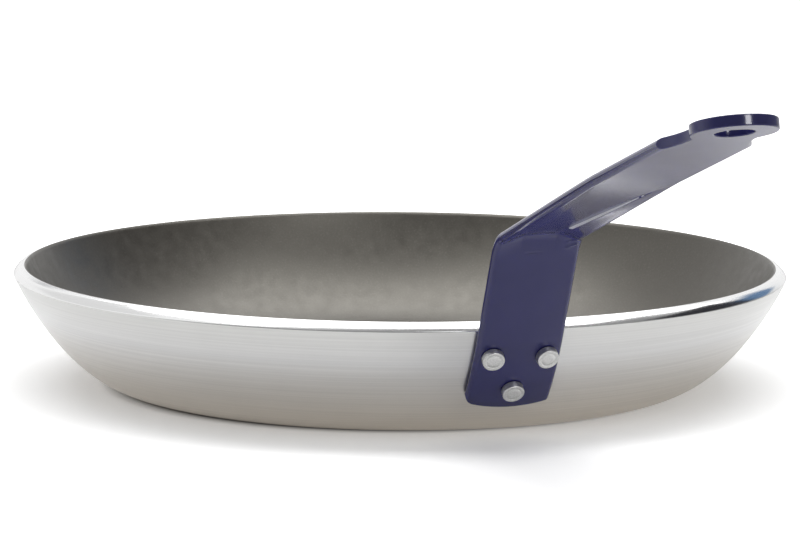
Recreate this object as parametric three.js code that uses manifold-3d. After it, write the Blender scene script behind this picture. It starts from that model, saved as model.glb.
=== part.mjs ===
// Frying pan: a pressed aluminium pan with a nonstick lining and a coated strip-steel handle
// held by three rivets. Millimetres and degrees. The pan stands on z = 0 round the z axis
// and the handle runs out along +x.

import * as THREE from "three";
import { mergeVertices, toCreasedNormals } from "three/addons/utils/BufferGeometryUtils.js";
import Module from "manifold-3d";

const wasm = await Module();
wasm.setup();

// Pan
const rimDiameter = 280; // outside, at the lower corner of the rim
const rimHeight = 41; // of that corner above the table
const rimLean = 24.4; // of the wall at the rim, from upright
const baseDiameter = 196;
const heelReach = 16; // how far the base runs on outwards before the wall turns up
const wallReach = 20; // how far the wall runs straight down from the rim
const wallThickness = 4.9;
const rimCrown = 0.6; // bulge of the polished edge
const coatingThickness = 0.25;
const coatingGap = 0.05;
const coatingMargin = 0.1; // bare metal between the lining and the corner of the rim

// Handle strip, lengths measured along the middle of its thickness
const stripThickness = 3.5;
const stripWidth = 30;
const footLength = 31.7; // below the rim
const footEndRadius = 40;
const footCorner = 3;
const riseLength = 36.9; // straight, above the rim
const bendRadius = 6; // inside
const armSlope = 16.9; // above level
const armLength = 182.4; // from the bend to the centre of the head
const edgeChamfer = 0.8;

// Channel pressed into the arm: two edges slope down beside the web and narrow to nothing
const channelEdge = 9.4; // width of each edge next to the bend
const channelAngle = 21;
const channelRadius = 4; // of the crease, at mid thickness
const channelLength = 98;

// Head with its hanging hole and the scalloped neck behind it
const hangingHole = 12; // diameter
const headLand = 6.4; // between hole and head circles, if they shared a centre
const holeSetback = 1.3; // of the hole from the centre of the head
const notchAngle = 132; // where the neck meets the head, from the tip
const scallopLength = 18.5;

// Rivets
const shankDiameter = 5;
const headDiameter = 7.6;
const headHeight = 2.5;
const headRound = 0.4;
const innerHeadDiameter = 10;
const innerHeadHeight = 1.3;
const rivetEdge = 5.7; // from the edge of the foot to the upper rivets
const lowRivet = 9.5; // from the end of the foot to the lower rivet
const rivetRise = 14.4; // from the lower rivet to the upper pair

// Room between neighbours
const seatGap = 0.3;
const boreGap = 0.3;

const panSides = 64;
const rivetSides = 20;

const radians = THREE.MathUtils.degToRad;
const { clamp, lerp, smoothstep } = THREE.MathUtils;
const heading = (degrees) =>
  new THREE.Vector2(Math.cos(radians(degrees)), Math.sin(radians(degrees)));
const spread = (from, to, count) =>
  Array.from({ length: count + 1 }, (_, i) => lerp(from, to, i / count));

// Solids: a geometry as a closed body for cutting, and the cut body as a geometry again

function bodyOf(geometry) {
  const bare = geometry.clone().deleteAttribute("normal").deleteAttribute("uv");
  const merged = mergeVertices(bare, 1e-4);
  const corners = merged.index.array;
  const triVerts = [];
  for (let i = 0; i < corners.length; i += 3) {
    const [a, b, c] = corners.slice(i, i + 3);
    if (a !== b && b !== c && c !== a) triVerts.push(a, b, c);
  }
  return new wasm.Manifold(
    new wasm.Mesh({
      numProp: 3,
      vertProperties: merged.attributes.position.array,
      triVerts: new Uint32Array(triVerts),
    }),
  );
}

function geometryOf(body) {
  const mesh = body.getMesh();
  const geometry = new THREE.BufferGeometry();
  geometry.setAttribute("position", new THREE.BufferAttribute(mesh.vertProperties, 3));
  geometry.setIndex(new THREE.BufferAttribute(mesh.triVerts, 1));
  return toCreasedNormals(geometry, radians(30));
}

const cut = (geometry, tools) =>
  geometryOf(tools.reduce((body, tool) => body.subtract(bodyOf(tool)), bodyOf(geometry)));

// A profile of (radius, height) points turned round the z axis
const turned = (profile, sides) => new THREE.LatheGeometry(profile, sides).rotateX(Math.PI / 2);

const drill = (diameter, length) =>
  new THREE.CylinderGeometry(diameter / 2, diameter / 2, length, 32).rotateX(Math.PI / 2);

// Pan wall: its outside in the (radius, height) plane, from the base to the rim

const rimCorner = new THREE.Vector2(rimDiameter / 2, rimHeight);
const heel = new THREE.Vector2(baseDiameter / 2, 0);
const wall = new THREE.CubicBezierCurve(
  heel,
  heel.clone().add(new THREE.Vector2(heelReach, 0)),
  rimCorner.clone().addScaledVector(heading(90 - rimLean), -wallReach),
  rimCorner,
);
const wallLength = wall.getLength();

// The wall's outside moved square to itself: outwards for a positive distance
function besideWall(belowRim, distance) {
  const u = 1 - belowRim / wallLength;
  const along = wall.getTangentAt(u);
  return wall.getPointAt(u).add(new THREE.Vector2(along.y, -along.x).multiplyScalar(distance));
}

const wallMarks = spread(wallLength, 0, 10);
const wallLine = (distance, margin = 0) =>
  wallMarks.map((belowRim) => besideWall(Math.max(belowRim, margin), distance));

function panProfile() {
  const inside = wallLine(-wallThickness).reverse();
  const edge = inside[0].clone().sub(rimCorner);
  const crown = spread(0, 1, 5).slice(1, -1).map((u) =>
    rimCorner
      .clone()
      .addScaledVector(edge, u)
      .addScaledVector(heading(90 - rimLean), 4 * rimCrown * u * (1 - u)),
  );
  const floor = new THREE.Vector2(0, wallThickness);
  return [new THREE.Vector2(0, 0), ...wallLine(0), ...crown, ...inside, floor];
}

function coatingProfile() {
  const outside = -wallThickness - coatingGap;
  const inside = outside - coatingThickness;
  return [
    new THREE.Vector2(0, -outside),
    ...wallLine(outside, coatingMargin),
    ...wallLine(inside, coatingMargin).reverse(),
    new THREE.Vector2(0, -inside),
  ];
}

// Handle path in the (x, z) plane: up the wall, straight past the rim, round the bend, out along
// the arm. Marks are distances along it from the end of the foot.

const stripOffset = seatGap + stripThickness / 2;
const path = new THREE.Path();
path.moveTo(...besideWall(footLength, stripOffset));
path.splineThru(spread(footLength, 0, 8).slice(1).map((below) => besideWall(below, stripOffset)));
const rimMark = path.getLength();

const riseDirection = heading(90 - rimLean);
path.lineTo(...path.currentPoint.clone().addScaledVector(riseDirection, riseLength));
const bendMark = rimMark + riseLength;

const bendMiddle = bendRadius + stripThickness / 2;
const bendCentre = path.currentPoint
  .clone()
  .add(new THREE.Vector2(riseDirection.y, -riseDirection.x).multiplyScalar(bendMiddle));
path.absarc(
  ...bendCentre,
  bendMiddle,
  riseDirection.angle() + Math.PI / 2,
  radians(armSlope) + Math.PI / 2,
  true,
);
const armMark = bendMark + bendMiddle * (riseDirection.angle() - radians(armSlope));

const headRadius = hangingHole / 2 + headLand;
const armDirection = heading(armSlope);
path.lineTo(...path.currentPoint.clone().addScaledVector(armDirection, armLength + headRadius));
const headMark = armMark + armLength;
const holeMark = headMark - holeSetback;
const pathLength = path.getLength();

// Outline of the flat strip: half its width against the mark, from the end of the foot to the tip

function stripOutline() {
  const half = stripWidth / 2;
  const footTurn = Math.asin((half - footCorner / 2) / footEndRadius);
  const cornerMark = footEndRadius * (1 - Math.cos(footTurn));
  const notchHalf = headRadius * Math.sin(radians(notchAngle));
  const notchMark = headMark + headRadius * Math.cos(radians(notchAngle));
  const outline = new THREE.Path();
  outline.absarc(footEndRadius, 0, footEndRadius, radians(178), Math.PI - footTurn, true);
  outline.quadraticCurveTo(cornerMark + footCorner / 4, half, cornerMark + footCorner, half);
  outline.lineTo(notchMark - scallopLength, half);
  outline.quadraticCurveTo(
    notchMark - 0.6 * scallopLength,
    lerp(notchHalf, half, 0.1),
    notchMark,
    notchHalf,
  );
  outline.absarc(headMark, 0, headRadius, radians(notchAngle), radians(5), true);
  return outline.getPoints(5);
}

const outline = stripOutline();

function halfWidth(mark) {
  const next = outline.findIndex((point, i) => i > 0 && point.x >= mark);
  const [a, b] = outline.slice(next < 0 ? -2 : next - 1).slice(0, 2);
  return lerp(a.y, b.y, clamp((mark - a.x) / (b.x - a.x), 0, 1));
}

// One cross-section of the strip as [across, above] points, along the top and back below. Over the
// channel the web stays where the flat strip has it and the edges beside it are pressed down.

function section(mark) {
  const half = halfWidth(mark);
  const fade = Math.sqrt(clamp(1 - (mark - armMark) / channelLength, 0, 1));
  const angle = radians(channelAngle) * smoothstep(mark, bendMark - bendRadius, armMark) * fade;
  const turn = channelRadius * angle;
  const chamfer = Math.min(edgeChamfer, half / 4);
  const edge = clamp(channelEdge * fade, chamfer + turn, 0.7 * half);
  const crease = half - edge;
  const side = [crease / 2, crease, crease + turn / 2, crease + turn, half - chamfer, half];
  const face = (sign) => {
    const right = side.map((along) => {
      const past = Math.max(along - crease, 0);
      const tilt = turn > 0 ? Math.min(past / channelRadius, angle) : 0;
      const straight = Math.max(past - turn, 0);
      const above = sign * (stripThickness / 2 - (along === half ? chamfer : 0));
      return [
        Math.min(along, crease) + (channelRadius + above) * Math.sin(tilt) + straight * Math.cos(tilt),
        above - (channelRadius + above) * (1 - Math.cos(tilt)) - straight * Math.sin(tilt),
      ];
    });
    const left = right.map(([across, above]) => [-across, above]).reverse();
    return [...left, [0, (sign * stripThickness) / 2], ...right];
  };
  return [...face(1), ...face(-1).reverse()];
}

// Where a point of a cross-section lies: the foot is wrapped round the pan, the rest is flat across
function place(mark, across, above) {
  const u = clamp(mark / pathLength, 0, 1);
  const along = path.getTangent(u);
  const point = path.getPoint(u).add(new THREE.Vector2(-along.y, along.x).multiplyScalar(above));
  const wrap = 1 - smoothstep(mark, rimMark, bendMark);
  const turn = across / point.x;
  return [
    lerp(point.x, point.x * Math.cos(turn), wrap),
    lerp(across, point.x * Math.sin(turn), wrap),
    point.y,
  ];
}

function stripGeometry() {
  const marks = [
    ...outline.map((point) => point.x),
    ...spread(0, rimMark, 5),
    ...spread(rimMark, bendMark, 3),
    ...spread(bendMark, armMark, 6),
    ...spread(1, 0, 7).map((fade) => armMark + channelLength * (1 - fade * fade)),
  ]
    .sort((a, b) => a - b)
    .filter((mark, i, all) => mark >= outline[0].x && (i === 0 || mark - all[i - 1] > 0.1));
  const rings = marks.map((mark) => section(mark).map(([w, above]) => place(mark, w, above)));
  const count = rings[0].length;
  const last = (rings.length - 1) * count;
  const index = [];
  for (let start = 0; start < last; start += count) {
    for (let j = 0; j < count; j++) {
      const [a, b] = [start + j, start + ((j + 1) % count)];
      index.push(a, a + count, b + count, a, b + count, b);
    }
  }
  for (let j = 0; j < count / 2 - 1; j++) {
    const [a, b, c, d] = [j, j + 1, count - 2 - j, count - 1 - j];
    index.push(a, b, c, a, c, d);
    index.push(last + a, last + c, last + b, last + a, last + d, last + c);
  }
  const geometry = new THREE.BufferGeometry();
  geometry.setAttribute("position", new THREE.Float32BufferAttribute(rings.flat(2), 3));
  return geometry.setIndex(index);
}

// A frame on the middle of the strip, its z axis square to the strip and outwards or downwards,
// turned round the pan to lie beside the middle line
function stripFrame(mark, across = 0) {
  const u = mark / pathLength;
  const along = path.getTangent(u);
  const point = path.getPoint(u);
  return new THREE.Matrix4()
    .makeBasis(
      new THREE.Vector3(along.x, 0, along.y),
      new THREE.Vector3(0, -1, 0),
      new THREE.Vector3(along.y, 0, -along.x),
    )
    .setPosition(point.x, 0, point.y)
    .premultiply(new THREE.Matrix4().makeRotationZ(across / point.x));
}

const upperRivet = stripWidth / 2 - rivetEdge;
const rivetFrames = {
  rivet_left: stripFrame(lowRivet + rivetRise, -upperRivet),
  rivet_right: stripFrame(lowRivet + rivetRise, upperRivet),
  rivet_lower: stripFrame(lowRivet),
};

function rivetProfile() {
  const outerSeat = stripThickness / 2 + seatGap;
  const lining = wallThickness + coatingGap + coatingThickness;
  const innerSeat = -(stripThickness / 2 + seatGap + lining + seatGap);
  const top = outerSeat + headHeight;
  const outerRound = spread(0, 90, 3).map((angle) =>
    new THREE.Vector2(headDiameter / 2 - headRound, top - headRound).addScaledVector(
      heading(angle),
      headRound,
    ),
  );
  const dome = spread(0, 1, 4).map(
    (u) =>
      new THREE.Vector2(
        (innerHeadDiameter / 2) * u,
        innerSeat - innerHeadHeight * (1 - 0.7 * u * u),
      ),
  );
  return [
    ...dome,
    new THREE.Vector2(innerHeadDiameter / 2, innerSeat),
    new THREE.Vector2(shankDiameter / 2, innerSeat),
    new THREE.Vector2(shankDiameter / 2, outerSeat),
    new THREE.Vector2(headDiameter / 2, outerSeat),
    ...outerRound,
    new THREE.Vector2(0, top),
  ];
}

// Assembly

const aluminium = new THREE.MeshStandardMaterial({ color: 0xb4b3ae, metalness: 1, roughness: 0.4 });
const nonstick = new THREE.MeshStandardMaterial({ color: 0x45433f, metalness: 0, roughness: 0.6 });
const handleCoat = new THREE.MeshStandardMaterial({ color: 0x2a2a52, metalness: 0, roughness: 0.3 });
const rivetMetal = new THREE.MeshStandardMaterial({ color: 0xc9c8c4, metalness: 1, roughness: 0.35 });

function piece(name, geometry, material) {
  const mesh = new THREE.Mesh(geometry, material);
  mesh.name = name;
  return mesh;
}

const stackLength = 4 * (wallThickness + stripThickness);
const rivetBores = Object.values(rivetFrames).map((frame) =>
  drill(shankDiameter + 2 * boreGap, stackLength).applyMatrix4(frame),
);
const hangingBore = drill(hangingHole, 4 * stripThickness).applyMatrix4(stripFrame(holeMark));

const pan = new THREE.Group();
pan.name = "pan";
pan.add(
  piece("pan_body", cut(turned(panProfile(), panSides), rivetBores), aluminium),
  piece("nonstick_coating", cut(turned(coatingProfile(), panSides), rivetBores), nonstick),
);

const handle = new THREE.Group();
handle.name = "riveted_handle";
handle.add(piece("handle", cut(stripGeometry(), [...rivetBores, hangingBore]), handleCoat));
for (const [name, frame] of Object.entries(rivetFrames)) {
  const rivet = piece(name, turned(rivetProfile(), rivetSides), rivetMetal);
  rivet.applyMatrix4(frame);
  handle.add(rivet);
}

const fryingPan = new THREE.Group();
fryingPan.name = "frying_pan";
fryingPan.add(pan, handle);

export default fryingPan;
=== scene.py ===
# %% [markdown]
# # A nonstick frying pan
# Three trades meet in this pan: a thick aluminium disc is pressed into a bowl and turned bright, a
# dark lining is sprayed inside it, and a strip of steel is cut, bent, coated and riveted on as the
# handle. The imported model holds every piece in its place, so it is loaded first, and its box is
# kept and printed beside the finished pan's at the end.

# %% Load the imported model
import math
from bisect import bisect_right

import bmesh
import bpy
from mathutils import Matrix, Vector, geometry, noise


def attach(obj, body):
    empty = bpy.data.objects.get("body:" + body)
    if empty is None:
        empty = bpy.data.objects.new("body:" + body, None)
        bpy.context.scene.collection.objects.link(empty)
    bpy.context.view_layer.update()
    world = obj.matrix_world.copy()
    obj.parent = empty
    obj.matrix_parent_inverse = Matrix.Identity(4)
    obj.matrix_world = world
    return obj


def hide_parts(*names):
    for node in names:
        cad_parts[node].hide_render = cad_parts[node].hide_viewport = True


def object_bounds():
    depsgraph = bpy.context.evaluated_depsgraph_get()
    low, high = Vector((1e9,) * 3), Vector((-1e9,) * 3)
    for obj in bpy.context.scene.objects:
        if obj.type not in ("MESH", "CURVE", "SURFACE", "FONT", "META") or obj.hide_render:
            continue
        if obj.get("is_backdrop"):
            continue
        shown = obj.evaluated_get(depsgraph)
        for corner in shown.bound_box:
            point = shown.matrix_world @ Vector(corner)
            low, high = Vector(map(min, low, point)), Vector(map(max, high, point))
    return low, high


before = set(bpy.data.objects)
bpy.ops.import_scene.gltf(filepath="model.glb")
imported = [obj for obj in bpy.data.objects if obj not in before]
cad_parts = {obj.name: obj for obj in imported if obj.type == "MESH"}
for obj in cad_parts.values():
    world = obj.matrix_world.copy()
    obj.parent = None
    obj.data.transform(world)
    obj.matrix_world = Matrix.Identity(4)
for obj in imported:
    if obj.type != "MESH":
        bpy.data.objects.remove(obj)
cad_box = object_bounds()
print("pieces in the packed model:", ", ".join(sorted(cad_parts)))

# %% [markdown]
# ## Drawing lines
# Each piece starts as a line on paper: the side of the pan, or the strip seen edge-on. Both have
# bends, so it helps to ask a line for the point and the direction at any distance along it. The
# drawings are in millimetres, as in a workshop, and MM turns them into Blender's metres.

# %% Lines measured along their length
MM, CORNER_PULL = 0.001, 0.6


def heading(degrees):
    return Vector((math.cos(math.radians(degrees)), math.sin(math.radians(degrees))))


def spread(first, last, count):
    return [first + (last - first) * i / count for i in range(count + 1)]


def smoothstep(value, low, high):
    share = min(max((value - low) / (high - low), 0), 1)
    return share * share * (3 - 2 * share)


def bezier(start, pull_start, pull_end, end, count):
    """Points on a curve, drawn in the plane."""
    corners = [Vector((p.x, p.y, 0)) for p in (start, pull_start, pull_end, end)]
    return [Vector((p.x, p.y)) for p in geometry.interpolate_bezier(*corners, count)]


def corner_arc(start, corner, end, count):
    """Points that run from start to end and lean towards the corner between them."""
    return bezier(start, start.lerp(corner, CORNER_PULL), end.lerp(corner, CORNER_PULL), end, count)


def softened(before, corner, after, reach, count=5):
    """Points that round off a corner, from reach before it to reach after it."""
    start = corner + (before - corner).normalized() * reach
    end = corner + (after - corner).normalized() * reach
    return corner_arc(start, corner, end, count)


class Line:
    """A drawn line that knows the point and the direction at each distance along it."""

    def __init__(self, points):
        self.points = [points[0]]
        for point in points[1:]:
            if (point - self.points[-1]).length > 1e-6:
                self.points.append(point)
        steps = [b - a for a, b in zip(self.points, self.points[1:])]
        self.marks = [0.0]
        for step in steps:
            self.marks.append(self.marks[-1] + step.length)
        ways = [step.normalized() for step in steps]
        between = [(a + b).normalized() for a, b in zip(ways, ways[1:])]
        self.ways = [ways[0], *between, ways[-1]]
        self.length = self.marks[-1]

    def at(self, mark):
        i = min(max(bisect_right(self.marks, mark) - 1, 0), len(self.points) - 2)
        share = (mark - self.marks[i]) / (self.marks[i + 1] - self.marks[i])
        point = self.points[i].lerp(self.points[i + 1], share)
        way = self.ways[i].lerp(self.ways[i + 1], min(max(share, 0), 1))
        return point, way.normalized()


bent_line = Line([Vector((0, 0)), Vector((30, 0)), Vector((30, 40))])
print(f"a line round a corner of 30 by 40 mm is {bent_line.length:.0f} mm long")

# %% [markdown]
# ## The side of the pan
# The wall leaves the flat base in a long easy curve and leans outwards at the rim. One curve gives
# its outside, and every other surface of the pan, of the lining and of the handle's foot is that
# curve moved sideways by a thickness, which keeps them all the same distance apart.

# %% The wall as a line from base to rim
RIM_RADIUS, RIM_HEIGHT, RIM_LEAN = 140, 41, 24.4
BASE_RADIUS, HEEL_REACH, WALL_REACH = 98, 16, 20
WALL_THICKNESS, RIM_CROWN, RIM_DROP, RIM_RISE = 4.9, 0.45, 0.75, 0.35

heel = Vector((BASE_RADIUS, 0))
rim_corner = Vector((RIM_RADIUS, RIM_HEIGHT))
up_the_wall = heading(90 - RIM_LEAN)
out_of_base = heel + Vector((HEEL_REACH, 0))
wall = Line(bezier(heel, out_of_base, rim_corner - WALL_REACH * up_the_wall, rim_corner, 600))


def beside_wall(below_rim, distance):
    """A point this far below the rim, moved outwards and square to the wall by a distance."""
    point, way = wall.at(wall.length - below_rim)
    return point + distance * Vector((way.y, -way.x))


print(f"the wall is {wall.length:.1f} mm long from base to rim")

# %% [markdown]
# ## The pan body
# The real pan is pressed and then turned on a lathe, and Spin does the same to a profile. The
# profile runs from the middle of the base, up the outside, over the polished edge and down the
# inside. The edge slopes down outwards and is slightly crowned, so it mirrors more than one spot of
# the room. Both its corners are broken slightly, because a hard corner would catch no light.

# %% Turning a profile into a piece
PAN_SIDES, MERGE = 288, 1e-6


def finished_piece(name, mesh_maker, node):
    """A mesh as a named piece that shades smoothly, rides on the body and stands for a CAD node."""
    mesh = bpy.data.meshes.new(name)
    bmesh.ops.recalc_face_normals(mesh_maker, faces=mesh_maker.faces)
    for face in mesh_maker.faces:
        face.smooth = True
    mesh_maker.to_mesh(mesh)
    mesh_maker.free()
    piece = bpy.data.objects.new(name, mesh)
    bpy.context.scene.collection.objects.link(piece)
    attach(piece, "root")
    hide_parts(node)
    print(f"{name}: {len(mesh.polygons)} faces")
    return piece


def put_in_order(items, place):
    """Number corners or faces by their places, because Spin may number them anew in each run."""
    ranks = {item: rank for rank, item in enumerate(sorted(items, key=place))}
    items.sort(key=ranks.get)


def turned(profile, sides):
    """A profile of (radius, height) points, spun round the z axis."""
    maker = bmesh.new()
    points = [maker.verts.new((p.x * MM, 0, p.y * MM)) for p in profile]
    edges = [maker.edges.new(pair) for pair in zip(points, points[1:])]
    bmesh.ops.spin(
        maker, geom=points + edges, axis=(0, 0, 1), cent=(0, 0, 0),
        angle=math.tau, steps=sides, use_merge=True,
    )
    bmesh.ops.remove_doubles(maker, verts=maker.verts, dist=MERGE)
    put_in_order(maker.verts, lambda corner: corner.co[:])
    put_in_order(maker.faces, lambda face: face.calc_center_median()[:])
    return maker


print(f"the pan and its lining are turned with {PAN_SIDES} sides")

# %% The pan body
OUTSIDE_STOP, OUTER_BREAK, INSIDE_STOP, INNER_BREAK = 0.4, 0.35, 0.2, 0.12
WALL_RINGS, RIM_RINGS, FLAT_RINGS = 44, 14, 12
FLAT_RADIUS = BASE_RADIUS - 2


def pan_profile():
    up = spread(wall.length, RIM_DROP + OUTSIDE_STOP, WALL_RINGS)
    down = spread(INSIDE_STOP, wall.length, WALL_RINGS)
    outside = [beside_wall(below, 0) for below in up]
    inside = [beside_wall(below, -WALL_THICKNESS) for below in down]
    inner_corner, outer_corner = beside_wall(-RIM_RISE, -WALL_THICKNESS), beside_wall(RIM_DROP, 0)
    across = inner_corner - outer_corner
    bulge = 4 * RIM_CROWN * Vector((across.y, -across.x)).normalized()
    crown = [outer_corner + across * u + bulge * u * (1 - u) for u in spread(0.08, 0.97, RIM_RINGS)]
    return [
        *[Vector((r, 0)) for r in spread(0, FLAT_RADIUS, FLAT_RINGS)],
        *outside,
        *softened(outside[-1], outer_corner, crown[0], OUTER_BREAK)[1:],
        *crown,
        *softened(crown[-1], inner_corner, inside[0], INNER_BREAK)[1:-1],
        *inside,
        *[Vector((r, WALL_THICKNESS)) for r in spread(FLAT_RADIUS, 0, FLAT_RINGS)],
    ]


pan_body = finished_piece(
    "pan_shell", turned(pan_profile(), PAN_SIDES), "pan_body"
)

# %% [markdown]
# ## The lining
# The lining is a sprayed coat a quarter of a millimetre thick that stops at the inner corner of the
# rim. It is a separate piece here, turned from the same wall line, so that its edge against the
# bright rim is a real step and not a painted border.

# %% The lining
COATING_THICKNESS, COATING_GAP, COATING_MARGIN, COATING_BREAK = 0.25, 0.05, -0.25, 0.1


def lining_profile():
    outer = -WALL_THICKNESS - COATING_GAP
    inner = outer - COATING_THICKNESS
    up = spread(wall.length, COATING_MARGIN, WALL_RINGS)
    down = spread(COATING_MARGIN + COATING_BREAK, wall.length, WALL_RINGS)
    return [
        *[Vector((r, -outer)) for r in spread(0, FLAT_RADIUS, FLAT_RINGS)],
        *[beside_wall(below, outer) for below in up],
        beside_wall(COATING_MARGIN, inner + COATING_BREAK),
        *[beside_wall(below, inner) for below in down],
        *[Vector((r, -inner)) for r in spread(FLAT_RADIUS, 0, FLAT_RINGS)],
    ]


lining = finished_piece(
    "lining", turned(lining_profile(), PAN_SIDES), "nonstick_coating"
)

# %% [markdown]
# ## The handle's path
# Seen edge-on the handle is one line: its foot follows the wall, it rises straight past the rim,
# bends, and runs out along the arm to a flat head. Marks on it are distances from the end of the
# foot, so a flat drawing of the strip can be wrapped along it later, as a press would.

# %% The path, edge-on
STRIP, SEAT_GAP = 3.5, 0.3
FOOT_LENGTH, RISE_LENGTH, BEND_RADIUS = 31.7, 36.9, 6
ARM_SLOPE, ARM_LENGTH = 16.9, 181.1
HOLE_RADIUS, HEAD_LAND = 6, 7.1

head_radius = HOLE_RADIUS + HEAD_LAND
foot_line = [beside_wall(below, SEAT_GAP + STRIP / 2) for below in spread(FOOT_LENGTH, 0, 300)]
rise_end = foot_line[-1] + up_the_wall * RISE_LENGTH
bend_middle = BEND_RADIUS + STRIP / 2
bend_centre = rise_end + bend_middle * heading(-RIM_LEAN)
bend_line = [
    bend_centre + bend_middle * heading(angle)
    for angle in spread(180 - RIM_LEAN, 90 + ARM_SLOPE, 120)
]
tip = bend_line[-1] + heading(ARM_SLOPE) * (ARM_LENGTH + head_radius)
rise_line = [foot_line[-1].lerp(rise_end, u) for u in spread(0, 1, 60)]
path = Line([*foot_line, *rise_line, *bend_line, tip])

rim_mark = Line(foot_line).length
bend_mark = rim_mark + RISE_LENGTH
arm_mark = bend_mark + bend_middle * math.radians(90 - RIM_LEAN - ARM_SLOPE)
head_mark = arm_mark + ARM_LENGTH
print(f"rim at {rim_mark:.1f}, bend {bend_mark:.1f} to {arm_mark:.1f}, hole {head_mark:.1f} mm")

# %% [markdown]
# ## The flat blank
# Before it is bent, the strip is a piece of rolled bar: its long sides are round, and only the
# foot, the scalloped neck, the head and the hole are cut by a punch. The head is a circle round the
# hole, and the notch between neck and head is rounded a little, as a punch would leave it. The
# outline is drawn once for each side, because the two lower corners of the foot differ.

# %% Outline of the blank
STRIP_WIDTH, FOOT_END_RADIUS, LEFT_CORNER, RIGHT_CORNER = 30, 40, 3.0, 1.2
NOTCH_ANGLE, NOTCH_REACH, SCALLOP_LENGTH = 130, 1.6, 17.2

half_width = STRIP_WIDTH / 2


def blank_side(corner_radius):
    """Half of the outline as (mark, half width) points, from the middle of the foot to the tip."""
    foot_bow = FOOT_END_RADIUS - math.sqrt(FOOT_END_RADIUS**2 - half_width**2)
    corner = Vector((foot_bow, half_width))
    arc_turn = math.degrees(math.asin((half_width - corner_radius) / FOOT_END_RADIUS))
    foot_arc = [
        Vector((FOOT_END_RADIUS, 0)) + FOOT_END_RADIUS * heading(180 - turn)
        for turn in spread(0, arc_turn, 24)
    ]
    side_start = Vector((corner.x + corner_radius, half_width))
    rounding = corner_arc(foot_arc[-1], corner, side_start, 9)
    notch = Vector((head_mark, 0)) + head_radius * heading(NOTCH_ANGLE)
    neck = Vector((notch.x - SCALLOP_LENGTH, half_width))
    pull = Vector((notch.x - 0.6 * SCALLOP_LENGTH, notch.y + 0.1 * (half_width - notch.y)))
    scallop = bezier(neck, neck.lerp(pull, 2 / 3), notch.lerp(pull, 2 / 3), notch, 40)
    turns = spread(NOTCH_ANGLE, 0, 56)
    head = [Vector((head_mark, 0)) + head_radius * heading(angle) for angle in turns]
    in_notch = softened(scallop[-4], notch, head[3], NOTCH_REACH, 9)
    neck_to_tip = [
        *[p for p in scallop if (p - notch).length > NOTCH_REACH],
        *in_notch,
        *[p for p in head if (p - notch).length > NOTCH_REACH],
    ]
    return [*foot_arc, *rounding[1:], *neck_to_tip]


left_side, right_side = blank_side(LEFT_CORNER), blank_side(RIGHT_CORNER)
outline = [*right_side, *[Vector((p.x, -p.y)) for p in reversed(left_side[1:-1])]]
print(f"the outline of the blank has {len(outline)} points")

# %% [markdown]
# ## The blank as a solid
# The blank becomes a solid in layers. At every height the punched outline is pulled in a little
# near the two faces, and then held inside the round sides of the bar, which leaves a small flat D
# where the scallop cuts into the round. Beveling the finished edges would not give that D. The two
# faces are filled as halves that meet on the middle line, because a Blender face can't have a hole.

# %% Layers of the edge
PUNCH_ROUND, LAYERS = 0.35, 18


def inset(loop, distance):
    """A closed outline moved inwards, square to its edges. The outline runs anticlockwise."""
    moved = []
    for i, point in enumerate(loop):
        before = (point - loop[i - 1]).normalized()
        after = (loop[(i + 1) % len(loop)] - point).normalized()
        square = (Vector((-before.y, before.x)) + Vector((-after.y, after.x))).normalized()
        spreading = max(square.dot(Vector((-after.y, after.x))), 0.5)
        moved.append(point + square * distance / spreading)
    return moved


def edge_layers():
    """(how far in by the punch, how far in by the round side, how high) from the top face down."""
    side_round = STRIP / 2
    layers = []
    for angle in spread(math.pi / 2, -math.pi / 2, LAYERS):
        height = side_round * math.sin(angle)
        near_face = max(abs(height) - (side_round - PUNCH_ROUND), 0)
        punched = PUNCH_ROUND - math.sqrt(max(PUNCH_ROUND**2 - near_face**2, 0))
        layers.append((punched, side_round * (1 - math.cos(angle)), height))
    return layers


def held_inside(point, limit):
    return Vector((point.x, min(max(point.y, -limit), limit)))


print(f"the edge of the blank is built in {len(edge_layers())} layers")

# %% The blank as a solid plate


def join_layers(maker, layers, turn_over):
    for upper, lower in zip(layers, layers[1:]):
        for i in range(len(upper)):
            ring = [upper[i - 1], upper[i], lower[i], lower[i - 1]]
            maker.faces.new(ring[::-1] if turn_over else ring)


def fill_halves(maker, rim, hole, turn_over):
    """Two faces between the outline and the hole, which meet on the middle line."""
    tip_at = max(range(len(rim)), key=lambda i: rim[i].co.x)
    foot_at = min(range(len(rim)), key=lambda i: rim[i].co.x)
    half_hole = len(hole) // 2
    right = [*rim[foot_at:tip_at + 1], *hole[: half_hole + 1]]
    left = [*rim[tip_at:], *rim[: foot_at + 1], *hole[half_hole:], hole[0]]
    for half in (right, left):
        maker.faces.new(half[::-1] if turn_over else half)


def blank_plate():
    maker = bmesh.new()
    layers, hole_layers = [], []
    circle = [Vector((head_mark, 0)) + HOLE_RADIUS * heading(a) for a in spread(0, 360, 64)[:-1]]
    for punched, rounded, height in edge_layers():
        ring = [held_inside(p, half_width - rounded) for p in inset(outline[::-1], punched)[::-1]]
        layers.append([maker.verts.new((p.x, p.y, height)) for p in ring])
        hole_ring = inset(circle, -punched)
        hole_layers.append([maker.verts.new((p.x, p.y, height)) for p in hole_ring])
    join_layers(maker, layers, turn_over=False)
    join_layers(maker, hole_layers, turn_over=True)
    fill_halves(maker, layers[0], hole_layers[0], turn_over=True)
    fill_halves(maker, layers[-1], hole_layers[-1], turn_over=False)
    return maker


plate = blank_plate()
print(f"the plain plate has {len(plate.faces)} faces")

# %% [markdown]
# ## Slicing the plate
# A plate bends only where it has edges, so it is sliced across and along before it is shaped. The
# lines along it should follow the creases of the pressed channel, which run out to the sides in a
# curve. So the plate is first stretched sideways until the creases are straight, sliced with
# straight cuts, and let back again.

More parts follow.
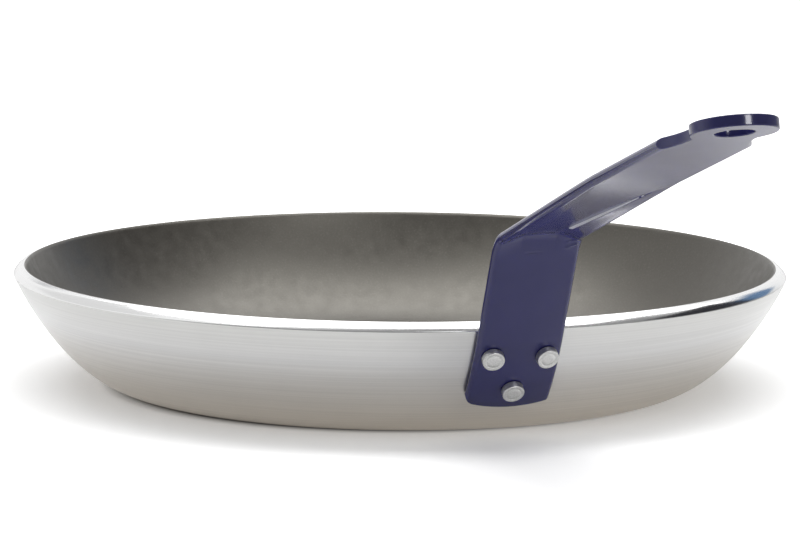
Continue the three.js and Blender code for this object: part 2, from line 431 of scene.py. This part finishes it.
# %% Slices that follow the channel
CHANNEL_EDGE, CHANNEL_ANGLE, CHANNEL_RADIUS, CHANNEL_LENGTH = 9.4, 21, 4, 98
THIN_EDGE, LET_BACK, CUT_MERGE = 1.6, 50, 0.02

straight_crease = half_width - CHANNEL_EDGE


def channel_fade(mark):
    """1 at the bend and before it, falling to 0 where the channel has run out."""
    return math.sqrt(min(max(1 - (mark - arm_mark) / CHANNEL_LENGTH, 0), 1))


def crease_line(mark):
    """Half the width between the lines that are sliced along the creases."""
    run_out = arm_mark + CHANNEL_LENGTH
    edge = max(CHANNEL_EDGE * channel_fade(mark), THIN_EDGE)
    edge += (CHANNEL_EDGE - edge) * smoothstep(mark, run_out, run_out + LET_BACK)
    return half_width - edge


def stretched(across, crease, new_crease):
    """A place across the strip after its creases have moved, with the sides kept where they are."""
    size = abs(across)
    if size < crease:
        size = size * new_crease / crease
    else:
        size = new_crease + (size - crease) * (half_width - new_crease) / (half_width - crease)
    return math.copysign(size, across)


print(f"straight creases lie {straight_crease:.1f} mm from the middle line")

# %% Cutting the slices


def slice_plate(place, square):
    everything = [*plate.verts, *plate.edges, *plate.faces]
    bmesh.ops.bisect_plane(
        plate, geom=everything, dist=CUT_MERGE, plane_co=place, plane_no=square
    )


cross_slices = [
    *spread(1, rim_mark, 30),
    *spread(rim_mark + 1.2, bend_mark - 6, 22),
    *spread(bend_mark - 5.6, arm_mark + 3, 64),
    *spread(arm_mark + 4, arm_mark + CHANNEL_LENGTH, 94),
    *spread(arm_mark + CHANNEL_LENGTH + 2, head_mark - 30, 14),
    *spread(head_mark - 28.5, path.length - 1.2, 30),
]
crease_steps = (-0.5, -0.2, 0, 0.05, 0.1, 0.15, 0.2, 0.35, 0.6, 0.9, 1.3, 1.9)
near_crease = [straight_crease + step for step in crease_steps]
long_slices = [*spread(-14.2, 14.2, 44), *near_crease, *[-across for across in near_crease]]

for mark in cross_slices:
    slice_plate((mark, 0, 0), (1, 0, 0))
for corner in plate.verts:
    corner.co.y = stretched(corner.co.y, crease_line(corner.co.x), straight_crease)
for across in long_slices:
    slice_plate((0, across, 0), (0, 1, 0))
for corner in plate.verts:
    corner.co.y = stretched(corner.co.y, straight_crease, crease_line(corner.co.x))
print(f"sliced, the plate has {len(plate.faces)} faces")

# %% [markdown]
# ## Pressing and bending
# The press does three things to the blank: it wraps the foot round the pan, bends the strip, and
# presses down the edges of the arm beside a flat web, which stiffens it. Under the arm it leaves a
# sharp step along each crease. Here each corner of the plate is moved by the same steps, because
# formulas keep the strip's thickness, which a chain of deforming modifiers would not.

# %% What the channel press does
STEP_HEIGHT, STEP_REACH, STEP_SKIN, LEAST_EDGE = 0.9, 0.2, 0.5, 0.5
STEP_START, STEP_FULL, FADE_OUT, FADE_IN = 7, 13, 0.35, 0.8


def pressed(mark, across, above):
    """Where the channel press moves a point of the cross-section: (across, above)."""
    fade = channel_fade(mark)
    begun = smoothstep(mark, bend_mark - BEND_RADIUS, arm_mark)
    angle = math.radians(CHANNEL_ANGLE) * begun * fade
    crease = half_width - CHANNEL_EDGE * fade
    past = max(abs(across) - crease, 0)
    turn = CHANNEL_RADIUS * angle
    tilt = min(past / CHANNEL_RADIUS, angle)
    straight = max(past - turn, 0)
    deep = smoothstep(mark, arm_mark + STEP_START, arm_mark + STEP_FULL)
    deep *= smoothstep(fade, FADE_OUT, FADE_IN)
    step = STEP_HEIGHT * deep * smoothstep(-above, STEP_SKIN, STRIP / 2)
    edge = max(CHANNEL_EDGE * fade, LEAST_EDGE)
    fold = smoothstep(past, 0, STEP_REACH) - smoothstep(past, STEP_REACH, edge)
    reach = CHANNEL_RADIUS + above - step * fold
    moved = min(abs(across), crease) + reach * math.sin(tilt) + straight * math.cos(tilt)
    height = -CHANNEL_RADIUS + reach * math.cos(tilt) - straight * math.sin(tilt)
    return math.copysign(moved, across), height


pressed_down = -pressed(arm_mark, half_width, 0)[1]
print(f"the press lowers the edges of the arm by {pressed_down:.1f} mm")

# %% Wrapping and bending along the path


def placed(mark, across, above):
    """Where a point of the cross-section lies on the finished handle, in metres."""
    point, way = path.at(mark)
    point = point + above * Vector((-way.y, way.x))
    wrap = 1 - smoothstep(mark, rim_mark, bend_mark)
    turn = across / point.x
    x = point.x + wrap * point.x * (math.cos(turn) - 1)
    y = across + wrap * (point.x * math.sin(turn) - across)
    return Vector((x, y, point.y)) * MM


reach_out = placed(path.length, 0, 0).x / MM
print(f"the tip of the handle lies {reach_out:.1f} mm from the middle of the pan")

# %% [markdown]
# ## A painted highlight on the creases, and small folds
# Where the step under the arm is sharpest, a pale line is painted along it as a highlight, for the
# light that the sharp crease catches. Its faces get a material of their own, and noise breaks the
# line into dashes as the crease runs out. The tight bend also leaves a few small folds, which are
# ridges along short straight lines on the blank.

# %% Folds that the press leaves, and the painted highlight
UNDERSIDE, FOLD_REACH = 0.01 - STRIP / 2, 0.7
HIGHLIGHT_START, HIGHLIGHT_END = 0.09, 0.85
DASH_START, DASH_FULL, DASH_GAIN, DASH_LEVEL, DASH_LENGTH = 0.5, 0.8, 1.2, 0.9, 2


def on_painted_highlight(face):
    """Whether a face lies on the step of a crease, where a pale line is painted as a highlight."""
    mark, across, above = face.calc_center_median()
    fade = channel_fade(mark)
    past = abs(across) - (half_width - CHANNEL_EDGE * fade)
    along = (mark - arm_mark) / CHANNEL_LENGTH
    dashed = DASH_GAIN * smoothstep(along, DASH_START, DASH_FULL) - DASH_LEVEL
    whole = noise.noise(Vector((mark / DASH_LENGTH, 0, 0))) > dashed
    on_step = above < UNDERSIDE and 0 < past < STEP_REACH * fade
    return on_step and HIGHLIGHT_START < along < HIGHLIGHT_END and whole


folds = [
    (Vector((36.8, 10.2)), Vector((41.2, 13.0)), 0.5),
    (Vector((34.4, 10.2)), Vector((36.8, 14.6)), 0.45),
    (Vector((32.4, -3.4)), Vector((32.4, 1.0)), -0.25),
]


def small_folds(mark, across):
    """How far the folds that the bend leaves stand out from the underside, in millimetres."""
    spot, out = Vector((mark - rim_mark, across)), 0
    for start, end, height in folds:
        length = (end - start).length
        along = min(max((spot - start).dot(end - start) / length**2, 0), 1)
        out += height * (1 - smoothstep((spot - start.lerp(end, along)).length, 0, FOLD_REACH))
    return out


# The faces on the crease step take the pale material, a painted highlight.
for face in plate.faces:
    face.material_index = 1 if on_painted_highlight(face) else 0
highlight_faces = sum(face.material_index for face in plate.faces)
print(f"{highlight_faces} faces of the creases are rubbed through; {len(folds)} folds at the bend")

# %% The handle
SHARP_FROM = 40

for corner in plate.verts:
    mark, across, above = corner.co
    if above < UNDERSIDE:
        above -= small_folds(mark, across)
    corner.co = placed(mark, *pressed(mark, across, above))
handle = finished_piece("handle_strip", plate, "handle")
handle.data.set_sharp_from_angle(angle=math.radians(SHARP_FROM))

# %% [markdown]
# ## The rivets
# Each rivet has a short round head outside with a ring pressed into its face by the setting tool,
# a shank through the strip and the wall, and a low dome inside the pan. They are turned too, then
# set square to the strip at their marks.

# %% The profile of a rivet
SHANK_RADIUS, HEAD_RADIUS, HEAD_HEIGHT, HEAD_TAPER = 2.5, 3.8, 2.5, 0.08
HEAD_ROUND, HEAD_FOOT_ROUND, DOME_ROUND = 0.3, 0.2, 0.25
DOME_RADIUS, DOME_HEIGHT, DOME_FALL = 5, 1.3, 0.7
RING_RADIUS, RING_LIP, RING_FLOOR, RING_DEPTH = 2.5, 0.28, 0.1, 0.15
RING_LAND, LIP_RISE, MID_RISE, FACE_RISE = 0.5, 0.02, 0.05, 0.06


def rivet_profile():
    seat = STRIP / 2 + SEAT_GAP
    inner_seat = -(STRIP / 2 + 2 * SEAT_GAP + WALL_THICKNESS + COATING_GAP + COATING_THICKNESS)
    top = seat + HEAD_HEIGHT
    dome = [
        Vector((DOME_RADIUS * u, inner_seat - DOME_HEIGHT * (1 - DOME_FALL * u * u)))
        for u in spread(0, 1, 12)
    ]
    dome_foot = Vector((DOME_RADIUS, inner_seat))
    shank_top = Vector((SHANK_RADIUS, seat))
    foot = Vector((HEAD_RADIUS, seat))
    shoulder = Vector((HEAD_RADIUS - HEAD_TAPER, top))
    return [
        *dome[:-1],
        *softened(dome[-2], dome[-1], dome_foot, DOME_ROUND),
        dome_foot,
        Vector((SHANK_RADIUS, inner_seat)),
        shank_top,
        *softened(shank_top, foot, shoulder, HEAD_FOOT_ROUND),
        *softened(foot, shoulder, Vector((0, top)), HEAD_ROUND, 8),
        Vector((RING_RADIUS + RING_LAND, top)),
        Vector((RING_RADIUS + RING_LIP, top)),
        Vector((RING_RADIUS + RING_FLOOR, top - RING_DEPTH)),
        Vector((RING_RADIUS - RING_FLOOR, top - RING_DEPTH)),
        Vector((RING_RADIUS - RING_LIP, top + LIP_RISE)),
        Vector((RING_RADIUS / 2, top + MID_RISE)),
        Vector((0, top + FACE_RISE)),
    ]


rivet_length = rivet_profile()[-1].y - rivet_profile()[0].y
print(f"a rivet is {rivet_length:.1f} mm long from dome to head")

# %% Three rivets
RIVET_EDGE, LOW_RIVET, RIVET_RISE, RIVET_SIDES = 5.7, 9.5, 14.4, 64


def rivet_place(mark, across):
    """The frame of a rivet: its z axis points out of the strip, away from the pan."""
    point, way = path.at(mark)
    turn = Matrix.Rotation(across / point.x, 4, "Z")
    axes = Matrix(((way.x, 0, way.y), (0, -1, 0), (way.y, 0, -way.x))).to_4x4()
    return turn @ Matrix.Translation(Vector((point.x, 0, point.y)) * MM) @ axes


upper = half_width - RIVET_EDGE
rivet_spots = {
    "rivet_left": (LOW_RIVET + RIVET_RISE, -upper),
    "rivet_right": (LOW_RIVET + RIVET_RISE, upper),
    "rivet_lower": (LOW_RIVET, 0),
}
rivets = []
for node, (mark, across) in rivet_spots.items():
    maker = turned(rivet_profile(), RIVET_SIDES)
    maker.transform(rivet_place(mark, across))
    rivets.append(finished_piece(node + "_set", maker, node))

# %% [markdown]
# ## Shared effects for the finishes
# Two effects turn up on more than one surface. Turned marks are the fine rings that a lathe and an
# abrasive leave round the pan. Grain is the fine mottle of a sprayed or blasted surface. Each is a
# node group with its own inputs, so a material only says how fine it wants them.

# %% Turned marks
CLOUD_SCALE, CLOUD_DETAIL, MARK_DETAIL = 22.0, 2.0, 3.0


def node_group(name, inputs, outputs):
    group = bpy.data.node_groups.new(name, "ShaderNodeTree")
    for label, value in inputs.items():
        socket = group.interface.new_socket(label, in_out="INPUT", socket_type="NodeSocketFloat")
        socket.default_value = value
    for label in outputs:
        group.interface.new_socket(label, in_out="OUTPUT", socket_type="NodeSocketFloat")
    return group, group.nodes.new("NodeGroupInput"), group.nodes.new("NodeGroupOutput")


def maths(tree, kind, first, second):
    node = tree.nodes.new("ShaderNodeMath")
    node.operation = kind
    for socket, value in zip(node.inputs, (first, second)):
        if isinstance(value, (int, float)):
            socket.default_value = value
        else:
            tree.links.new(value, socket)
    return node.outputs[0]


def turned_marks_group():
    """Rings round the z axis: noise that changes fast along the profile and slowly round it."""
    group, given, made = node_group(
        "turned_marks", {"Fineness": 900.0, "Sweep": 9.0}, ["Marks", "Clouds"]
    )
    sweep, fineness = given.outputs["Sweep"], given.outputs["Fineness"]
    place = group.nodes.new("ShaderNodeTexCoord").outputs["Object"]
    split = group.nodes.new("ShaderNodeSeparateXYZ")
    group.links.new(place, split.inputs[0])
    x, y, z = split.outputs
    squares = maths(group, "ADD", maths(group, "MULTIPLY", x, x), maths(group, "MULTIPLY", y, y))
    along = maths(group, "ADD", maths(group, "SQRT", squares, 0), z)
    joined = group.nodes.new("ShaderNodeCombineXYZ")
    for socket, value, scale in zip(joined.inputs, (x, y, along), (sweep, sweep, fineness)):
        group.links.new(maths(group, "MULTIPLY", value, scale), socket)
    for label, vector, scale, detail in (
        ("Marks", joined.outputs[0], 1.0, MARK_DETAIL),
        ("Clouds", place, CLOUD_SCALE, CLOUD_DETAIL),
    ):
        pattern = group.nodes.new("ShaderNodeTexNoise")
        pattern.inputs["Scale"].default_value = scale
        pattern.inputs["Detail"].default_value = detail
        group.links.new(vector, pattern.inputs["Vector"])
        group.links.new(pattern.outputs["Fac"], made.inputs[label])
    return group


turned_marks = turned_marks_group()
print(f"{turned_marks.name}: a group of {len(turned_marks.nodes)} nodes")

# %% Grain


def grain_group():
    """A fine mottle, and a wider unevenness under it."""
    group, given, made = node_group("grain", {"Fineness": 1500.0}, ["Fine", "Wide"])
    place = group.nodes.new("ShaderNodeTexCoord").outputs["Object"]
    for label, share, detail in (("Fine", 1.0, 2.0), ("Wide", 0.16, 3.0)):
        spots = group.nodes.new("ShaderNodeTexNoise")
        spots.inputs["Detail"].default_value = detail
        scale = maths(group, "MULTIPLY", given.outputs["Fineness"], share)
        group.links.new(place, spots.inputs["Vector"])
        group.links.new(scale, spots.inputs["Scale"])
        group.links.new(spots.outputs["Fac"], made.inputs[label])
    return group


grain = grain_group()
print(f"{grain.name}: a group of {len(grain.nodes)} nodes")

# %% [markdown]
# ## Building a material
# Every finish below is one Principled shader. A number that is the same all over is typed into its
# socket, and what varies over the surface comes from a group through a range that says how much.
# The helpers keep each finish down to the few lines that make it different from the others.

# %% A finish and its effects


def new_finish(name, **values):
    """A material with one Principled shader, its even values typed in."""
    finish = bpy.data.materials.new(name)
    finish.use_nodes = True
    shader = finish.node_tree.nodes["Principled BSDF"]
    for label, value in values.items():
        shader.inputs[label.replace("_", " ")].default_value = value
    return finish, shader


def effect(finish, group, **values):
    node = finish.node_tree.nodes.new("ShaderNodeGroup")
    node.node_tree = group
    for label, value in values.items():
        node.inputs[label].default_value = value
    return node.outputs


def wire(finish, value, socket):
    finish.node_tree.links.new(value, socket)


print("each finish starts from", new_finish.__name__, "and takes effects from the groups")

# %% Ranges, tints and bumps


def mapped(tree, value, low, high, start, end):
    """A value from start to end, stretched to lie between low and high."""
    node = tree.nodes.new("ShaderNodeMapRange")
    tree.links.new(value, node.inputs["Value"])
    numbers = {"From Min": start, "From Max": end, "To Min": low, "To Max": high}
    for label, number in numbers.items():
        node.inputs[label].default_value = number
    return node.outputs["Result"]


def ranged(finish, value, low, high, start=0.3, end=0.7):
    """The same in a finish, for noise, which mostly lies between 0.3 and 0.7."""
    return mapped(finish.node_tree, value, low, high, start, end)


def tinted(finish, share, *stops):
    """A colour that runs through the stops, each (place, colour), as the share grows."""
    node = finish.node_tree.nodes.new("ShaderNodeValToRGB")
    ramp = node.color_ramp
    while len(ramp.elements) < len(stops):
        ramp.elements.new(0.5)
    for element, (place, colour) in zip(ramp.elements, stops):
        element.position = place
        element.color = (*colour, 1)
    wire(finish, share, node.inputs["Fac"])
    return node.outputs["Color"]


def multiplied(finish, first, second):
    node = finish.node_tree.nodes.new("ShaderNodeMix")
    node.data_type, node.blend_type = "RGBA", "MULTIPLY"
    node.inputs["Factor"].default_value = 1
    wire(finish, first, node.inputs["A"])
    wire(finish, second, node.inputs["B"])
    return node.outputs["Result"]


def roughened(finish, shader, height, strength, depth):
    node = finish.node_tree.nodes.new("ShaderNodeBump")
    node.inputs["Strength"].default_value = strength
    node.inputs["Distance"].default_value = depth * MM
    wire(finish, height, node.inputs["Height"])
    wire(finish, node.outputs["Normal"], shader.inputs["Normal"])


helpers = (ranged, tinted, multiplied, roughened)
print("an effect reaches a shader", ", ".join(helper.__name__ for helper in helpers))

# %% [markdown]
# ## Brushed and polished aluminium
# The outside was brushed while it turned, so it scatters light across the brushing: anisotropy with
# the tangent running round the z axis. Its colour is a painted shade: darker and warmer towards the
# base, and a little darker again just below the rim. The cut edge of the rim was polished
# afterwards and mirrors the room.

# %% The metal of the pan
# Heights over which the painted shade near the base fades out up the wall.
BASE_SHADE_FROM, BASE_SHADE_TO = 0.002, 0.04


def brushed_aluminium():
    finish, shader = new_finish(
        "brushed_aluminium", Metallic=1.0, Anisotropic=0.6, Anisotropic_Rotation=0.25
    )
    nodes = finish.node_tree.nodes
    marks = effect(finish, turned_marks, Fineness=1100.0, Sweep=7.0)
    tangent = nodes.new("ShaderNodeTangent")
    tangent.direction_type, tangent.axis = "RADIAL", "Z"
    wire(finish, tangent.outputs[0], shader.inputs["Tangent"])
    height = nodes.new("ShaderNodeSeparateXYZ")
    wire(finish, nodes.new("ShaderNodeTexCoord").outputs["Object"], height.inputs[0])
    # Painted shade: the colour is darker and warmer towards the base and a little darker below the
    # rim.
    painted_base_shade = tinted(
        finish, ranged(finish, height.outputs["Z"], 0, 1, BASE_SHADE_FROM, BASE_SHADE_TO),
        (0.0, (0.61, 0.56, 0.49)), (0.7, (0.68, 0.68, 0.68)), (0.95, (0.61, 0.61, 0.60)),
    )
    streaks = tinted(
        finish, ranged(finish, marks["Marks"], 0, 1), (0.0, (0.9, 0.9, 0.9)), (1.0, (1, 1, 1))
    )
    wire(finish, multiplied(finish, painted_base_shade, streaks), shader.inputs["Base Color"])
    wire(finish, ranged(finish, marks["Clouds"], 0.30, 0.38), shader.inputs["Roughness"])
    roughened(finish, shader, marks["Marks"], 0.12, 0.05)
    return finish


def polished_aluminium():
    finish, shader = new_finish("polished_aluminium", Metallic=1.0)
    marks = effect(finish, turned_marks, Fineness=1800.0, Sweep=5.0)
    shade = tinted(finish, marks["Marks"], (0.3, (0.80, 0.80, 0.80)), (0.7, (0.86, 0.86, 0.86)))
    wire(finish, shade, shader.inputs["Base Color"])
    wire(finish, ranged(finish, marks["Clouds"], 0.12, 0.2), shader.inputs["Roughness"])
    return finish


pan_body.data.materials.append(brushed_aluminium())
pan_body.data.materials.append(polished_aluminium())
print("the pan is", " and ".join(finish.name for finish in pan_body.data.materials))

# %% Which faces are polished
polished_faces = 0
for face in pan_body.data.polygons:
    spot = Vector((math.hypot(face.center.x, face.center.y), face.center.z)) / MM
    if (spot - rim_corner).dot(up_the_wall) > -RIM_DROP:
        face.material_index = 1
        polished_faces += 1
print(f"{polished_faces} faces of the rim are polished")

# %% [markdown]
# ## Lining, coat and rivets
# The lining is a satin, slightly speckled dark grey, and its reflections are a little warm. The
# handle has a glossy coat in a blue so dark that it is nearly black in shade, with the faint
# unevenness of a dipped coat. A pale line on the step of each crease is a painted highlight. The
# rivets are dull, grainy aluminium, so the same grain serves them at a finer scale.

# %% The lining's finish


def nonstick_lining():
    finish, shader = new_finish(
        "nonstick_lining", Specular_IOR_Level=0.82, Specular_Tint=(1, 0.96, 0.86, 1)
    )
    speckle = effect(finish, grain, Fineness=1400.0)
    shade = tinted(
        finish, ranged(finish, speckle["Fine"], 0, 1),
        (0.0, (0.051, 0.047, 0.041)), (0.8, (0.062, 0.057, 0.050)), (1.0, (0.077, 0.072, 0.064)),
    )
    wire(finish, shade, shader.inputs["Base Color"])
    wire(finish, ranged(finish, speckle["Wide"], 0.32, 0.42), shader.inputs["Roughness"])
    roughened(finish, shader, speckle["Fine"], 0.1, 0.04)
    return finish


lining.data.materials.append(nonstick_lining())
print("the lining is", lining.data.materials[0].name)

# %% The handle's coat and its painted highlight


def handle_coat():
    finish, shader = new_finish("handle_coat", Specular_IOR_Level=0.45)
    flow = effect(finish, grain, Fineness=300.0)
    shade = tinted(finish, flow["Wide"], (0.3, (0.025, 0.025, 0.126)), (0.7, (0.030, 0.030, 0.142)))
    wire(finish, shade, shader.inputs["Base Color"])
    wire(finish, ranged(finish, flow["Wide"], 0.12, 0.15), shader.inputs["Roughness"])
    roughened(finish, shader, flow["Wide"], 0.02, 0.02)
    return finish


# A pale matt material for the painted highlight along the creases.
def painted_crease_highlight():
    finish, _ = new_finish("painted_crease_highlight", Base_Color=(0.92, 0.92, 0.93, 1), Roughness=0.5)
    return finish


handle.data.materials.append(handle_coat())
handle.data.materials.append(painted_crease_highlight())
print("the handle has", " over ".join(coat.name for coat in handle.data.materials))

# %% The rivets' finish


def rivet_metal():
    finish, shader = new_finish("rivet_metal", Metallic=1.0)
    blasted = effect(finish, grain, Fineness=2600.0)
    shade = tinted(finish, blasted["Fine"], (0.3, (0.49, 0.49, 0.48)), (0.7, (0.67, 0.67, 0.66)))
    wire(finish, shade, shader.inputs["Base Color"])
    wire(finish, ranged(finish, blasted["Wide"], 0.38, 0.52), shader.inputs["Roughness"])
    roughened(finish, shader, blasted["Fine"], 0.3, 0.08)
    return finish


metal = rivet_metal()
for rivet in rivets:
    rivet.data.materials.append(metal)
print("finishes:", ", ".join(finish.name for finish in bpy.data.materials))

# %% [markdown]
# ## Floor
# The pan stands on a pale floor that fades into a white room. For the camera the floor glows more
# and more away from the pan, which makes the background white without more light on the pan. The
# glow is held back round the base and under the handle, which paints shadow there: round the base
# it is partly the floor's real shadow and partly painted shadow, and under the handle it is a
# painted shadow. Reflections see a smaller glow that is also held back near the base, so the metal
# shows that painted shade too. Light Path tells rays of the camera and of reflections apart from
# the rays that give light.

# %% Floor
FLOOR_REACH, FLOOR_DROP = 5.0, 0.0003
GLOW, FULL_GLOW, WHITE_FROM = 0.3, 0.9, 0.3
# Painted shadow: the glow is held back near the base, round this centre, and under the handle.
SHADOW_CENTRE, SHADOW_EDGE, SHADOW_END = (-0.0012, -0.0038, 0), 0.0972, 0.105
HANDLE_SHADE, SHADE_MIDDLE, SHADE_HALF = 0.42, -0.008, 0.052
SHADE_START, SHADE_FULL, SHADE_FADE, SHADE_END = 0.112, 0.162, 0.2, 0.42


def left_by_painted_handle_shadow(finish, spot):
    """The share of the glow left outside the handle's painted shadow: 1 beside it and beyond its
    end.
    """
    tree = finish.node_tree
    split = tree.nodes.new("ShaderNodeSeparateXYZ")
    tree.links.new(spot, split.inputs[0])
    x, y = split.outputs["X"], split.outputs["Y"]
    beside = maths(tree, "ABSOLUTE", maths(tree, "SUBTRACT", y, SHADE_MIDDLE), 0)
    shade = ranged(finish, beside, HANDLE_SHADE, 0, 0, SHADE_HALF)
    shade = maths(tree, "MULTIPLY", shade, ranged(finish, x, 0, 1, SHADE_START, SHADE_FULL))
    shade = maths(tree, "MULTIPLY", shade, ranged(finish, x, 1, 0, SHADE_FADE, SHADE_END))
    return maths(tree, "SUBTRACT", 1, shade)


def floor_glow(finish):
    """Floor glow for the camera and reflections: more away from the pan, held back as painted
    shadow.
    """
    tree = finish.node_tree
    spot = tree.nodes.new("ShaderNodeTexCoord").outputs["Object"]
    away = tree.nodes.new("ShaderNodeVectorMath")
    away.operation = "DISTANCE"
    tree.links.new(spot, away.inputs[0])
    away.inputs[1].default_value = SHADOW_CENTRE
    rays = tree.nodes.new("ShaderNodeLightPath").outputs
    near = ranged(finish, away.outputs["Value"], 0, GLOW, SHADOW_EDGE, SHADOW_END)
    far = ranged(finish, away.outputs["Value"], 0, FULL_GLOW - GLOW, SHADOW_END, WHITE_FROM)
    shown = maths(tree, "MULTIPLY", maths(tree, "ADD", near, far), left_by_painted_handle_shadow(finish, spot))
    to_camera = maths(tree, "MULTIPLY", rays["Is Camera Ray"], shown)
    # Reflections get a glow that is also held back near the base, a painted shade seen in the
    # metal.
    mirrored = maths(tree, "MULTIPLY", rays["Is Glossy Ray"], near)
    return maths(tree, "ADD", to_camera, mirrored)


def stage_sheet(name, half_wide, half_high):
    """A flat sheet, not part of the pan, with its middle at the origin."""
    mesh = bpy.data.meshes.new(name)
    ends = [(-1, -1), (1, -1), (1, 1), (-1, 1)]
    mesh.from_pydata([(x * half_wide, y * half_high, 0) for x, y in ends], [], [(0, 1, 2, 3)])
    sheet = bpy.data.objects.new(name, mesh)
    bpy.context.scene.collection.objects.link(sheet)
    return sheet


def pale_floor():
    floor = stage_sheet("floor", FLOOR_REACH, FLOOR_REACH)
    floor.location.z = -FLOOR_DROP
    finish, shader = new_finish("pale_floor", Base_Color=(0.86, 0.86, 0.86, 1), Roughness=0.9)
    shader.inputs["Specular IOR Level"].default_value = 0.2
    shader.inputs["Emission Color"].default_value = (1, 1, 1, 1)
    wire(finish, floor_glow(finish), shader.inputs["Emission Strength"])
    floor.data.materials.append(finish)
    floor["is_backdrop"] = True


pale_floor()
print(f"the floor reaches {FLOOR_REACH:.0f} m each way and is white from {WHITE_FROM} m")

# %% [markdown]
# ## Room and light
# One large soft panel overhead gives most of the light, and an even room fills in the rest at a
# plain level. Shiny surfaces see another room: it has a bright side behind the pan and a dim side
# behind the camera, so that curved metal is shaded across. The camera sees plain white.

# %% Room
FILL, DIM_SIDE = 0.2, 0.3
BRIGHT_SIDE, BRIGHT_FROM, BRIGHT_FULL = (-0.86, -0.26, 0.44), 0.15, 0.55


def white_room():
    """A white world for the camera, a bright side and a dim side for reflections, an even fill."""
    world = bpy.data.worlds.new("white_room")
    bpy.context.scene.world = world
    world.use_nodes = True
    tree = world.node_tree
    facing = tree.nodes.new("ShaderNodeVectorMath")
    facing.operation = "DOT_PRODUCT"
    tree.links.new(tree.nodes.new("ShaderNodeTexCoord").outputs["Generated"], facing.inputs[0])
    facing.inputs[1].default_value = BRIGHT_SIDE
    room = mapped(tree, facing.outputs["Value"], DIM_SIDE, 1.0, BRIGHT_FROM, BRIGHT_FULL)
    rays = tree.nodes.new("ShaderNodeLightPath").outputs
    mirrored = maths(tree, "MAXIMUM", rays["Is Glossy Ray"], rays["Is Transmission Ray"])
    unlit = maths(tree, "SUBTRACT", room, FILL)
    level = maths(tree, "ADD", maths(tree, "MULTIPLY", mirrored, unlit), FILL)
    to_camera = maths(tree, "MULTIPLY", rays["Is Camera Ray"], 1 - FILL)
    shown = tree.nodes["Background"]
    shown.inputs["Color"].default_value = (1, 1, 1, 1)
    tree.links.new(maths(tree, "ADD", level, to_camera), shown.inputs["Strength"])


white_room()
print("the room fills in with a strength of", FILL)

# %% Lamp


def soft_panel(name, place, target, size, power):
    lamp = bpy.data.lights.new(name, "AREA")
    lamp.shape, lamp.size, lamp.size_y, lamp.energy = "RECTANGLE", *size, power
    panel = bpy.data.objects.new(name, lamp)
    panel.location = place
    panel.rotation_euler = (Vector(target) - Vector(place)).to_track_quat("-Z", "Y").to_euler()
    bpy.context.scene.collection.objects.link(panel)


soft_panel("overhead_panel", (-0.1, 0.02, 1.2), (0, 0, 0), (1.65, 0.8), 16.6)
bpy.context.scene.view_settings.view_transform = "Standard"
print("lamps:", ", ".join(lamp.name for lamp in bpy.data.lights))

# %% [markdown]
# ## Cards for the reflections
# Polished metal shows whatever stands round it, and a plain white room would leave the rim without
# shape. A dark and a blue card behind on the right make the streak on the rim, and a grey and a
# pale one on the left shade its other end and the right of the lining. Two white ones high in front
# and behind brighten the lining, and a small bright one beside the camera puts a light on the edge
# of the head. Only reflections see the cards: they give no light and no shadow.

# %% Cards


def card(name, place, size, colour, strength):
    sheet = stage_sheet(name, size[0] / 2, size[1] / 2)
    sheet.location = place
    sheet.rotation_euler = (-Vector(place)).to_track_quat("Z", "Y").to_euler()
    finish, shader = new_finish(name, Base_Color=(0, 0, 0, 1), Roughness=1.0)
    shader.inputs["Specular IOR Level"].default_value = 0.0
    shader.inputs["Emission Color"].default_value = (*colour, 1)
    shader.inputs["Emission Strength"].default_value = strength
    sheet.data.materials.append(finish)
    sheet.visible_camera = sheet.visible_diffuse = sheet.visible_shadow = False
    sheet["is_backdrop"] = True


card("dark_card", (-0.04, 1.12, 0.70), (1.06, 0.5), (0.03, 0.03, 0.035), 1.0)
card("blue_card", (-0.70, 1.09, 0.52), (0.40, 0.34), (0.12, 0.22, 0.38), 1.0)
card("bright_card", (1.38, 0.34, 0.61), (0.3, 0.6), (1, 1, 1), 14.0)
card("front_card", (1.01, 0.245, 1.08), (0.8, 0.6), (1, 1, 1), 1.3)
card("grey_card", (-1.29, -0.03, 0.545), (0.5, 0.12), (0.4, 0.4, 0.42), 1.0)
card("left_card", (-0.76, -0.74, 0.75), (1.0, 0.6), (0.8, 0.8, 0.8), 1.0)
card("back_card", (-0.77, 0.23, 1.15), (2.0, 0.65), (1, 1, 1), 2.3)
print("seven cards stand round the pan")

# %% [markdown]
# ## The camera
# The pan is seen from low in front and a little to the left of the handle, through a long lens that
# keeps the rim's ellipse flat. The camera stands 1.6 m from the middle of the pan and looks down by
# about eight degrees, tilted by less than half a degree.

# %% Camera
CAMERA_SWING, CAMERA_DISTANCE, CAMERA_HEIGHT = 16.65, 1600, 279.2
CAMERA_PITCH, CAMERA_ROLL, LENS, SENSOR = 8.44, 0.40, 200.9, 36

lens = bpy.data.cameras.new("camera")
lens.lens, lens.sensor_width, lens.sensor_fit = LENS, SENSOR, "HORIZONTAL"
camera = bpy.data.objects.new("camera", lens)
bpy.context.scene.collection.objects.link(camera)
pitch = math.radians(CAMERA_PITCH)
outwards = heading(-CAMERA_SWING)
stand = Vector((*(outwards * CAMERA_DISTANCE), CAMERA_HEIGHT))
look = Vector((*(-outwards * math.cos(pitch)), -math.sin(pitch)))
turn = look.to_track_quat("-Z", "Y").to_matrix().to_4x4()
roll = Matrix.Rotation(math.radians(CAMERA_ROLL), 4, "Z")
camera.matrix_world = Matrix.Translation(stand * MM) @ turn @ roll
bpy.context.scene.camera = camera
print("camera at", [round(v, 3) for v in camera.location])

# %% [markdown]
# ## The size
# Dressing the pan must not change its size, so both boxes are printed at the end.

# %% Sizes
made_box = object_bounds()
for label, (low, high) in (("packed", cad_box), ("dressed", made_box)):
    print(label, "size in mm:", [round((b - a) / MM, 1) for a, b in zip(low, high)])
